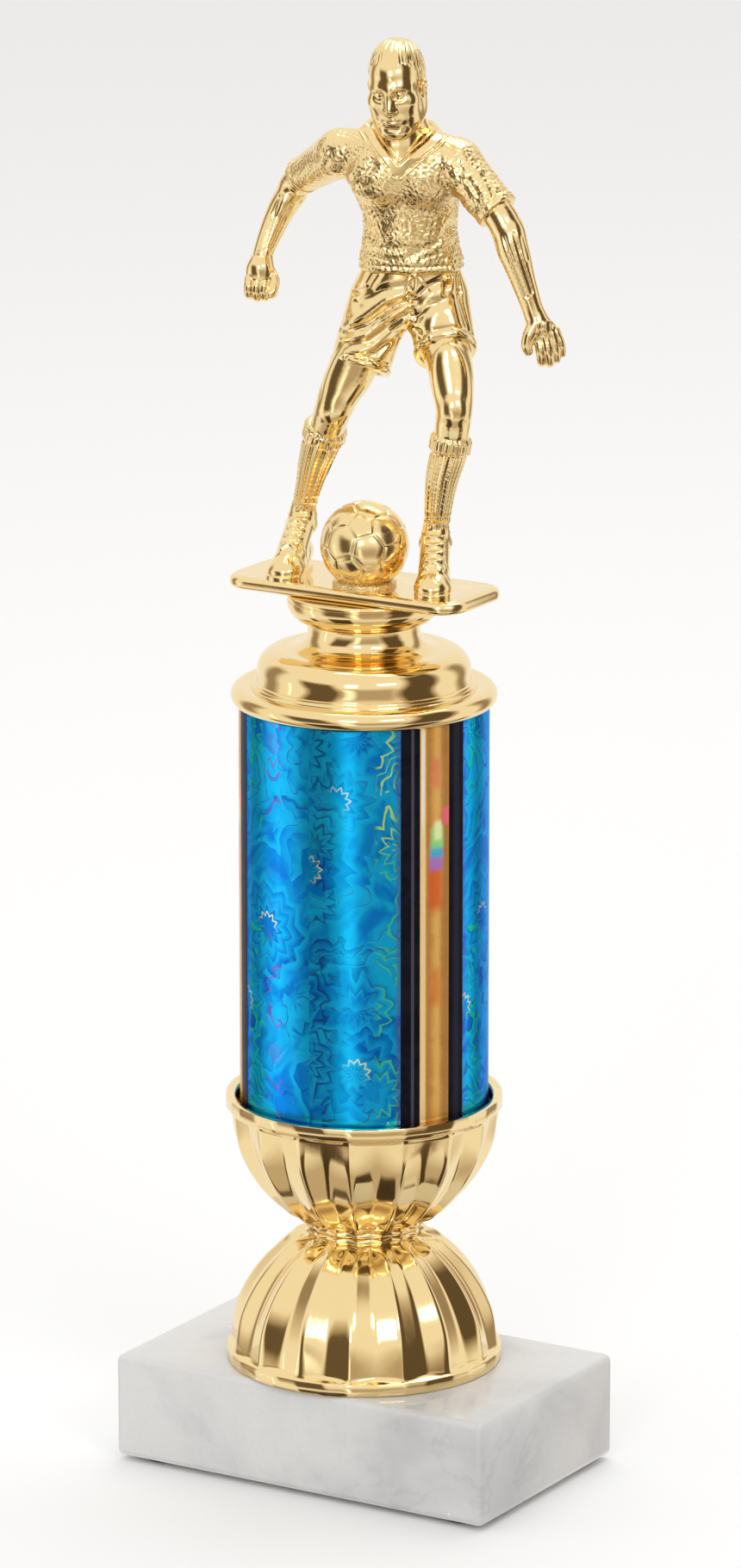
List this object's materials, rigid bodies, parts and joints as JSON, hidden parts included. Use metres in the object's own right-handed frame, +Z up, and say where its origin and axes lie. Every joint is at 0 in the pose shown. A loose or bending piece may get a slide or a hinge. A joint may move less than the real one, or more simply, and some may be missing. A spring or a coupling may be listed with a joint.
{
  "type": "figure trophy",
  "caption": "Column trophy: football player figure on a turning plate, film-covered column with metallised lid, double fluted bowl riser and stone block base on one tie rod.",
  "frame": {"origin": "on the column's axis, at the level of the felt pads' undersides", "axes": "+Z up along the tie rod, +X along the marble's long side, -Y the front face of the marble"},
  "size_m": [0.088, 0.057, 0.299],
  "materials": {
    "marble": "polished white marble with soft grey clouds",
    "felt": "pressed felt",
    "steel": "zinc plated",
    "gold_plastic": "vacuum metallised bright gold",
    "core_tube": "plain extruded tube",
    "blue_film": "holographic film under clear gloss",
    "black_film": "gloss film",
    "gold_film": "metallic gold film with a faint rainbow",
    "brass": "turned"
  },
  "bodies": {
    "stand": {"marble_base": "marble", "felt_pads": "felt", "tie_rod": "steel", "bottom_washer": "steel", "bottom_nut": "steel", "lower_bowl": "gold_plastic", "upper_bowl": "gold_plastic", "column_core": "core_tube", "blue_foil": "blue_film", "black_stripes": "black_film", "gold_stripes": "gold_film", "column_lid": "gold_plastic", "lid_washer": "steel", "lid_nut": "steel"},
    "figure": {"figure_boss": "gold_plastic", "boss_insert": "brass", "ball": "gold_plastic", "figure_front": "gold_plastic", "figure_back": "gold_plastic"}
  },
  "joints": [
    {"name": "figure_turn", "type": "hinge", "parent": "stand", "child": "figure", "pos_m": [0, 0, 0.182], "axis": [0, 0, 1], "continuous": true}
  ]
}
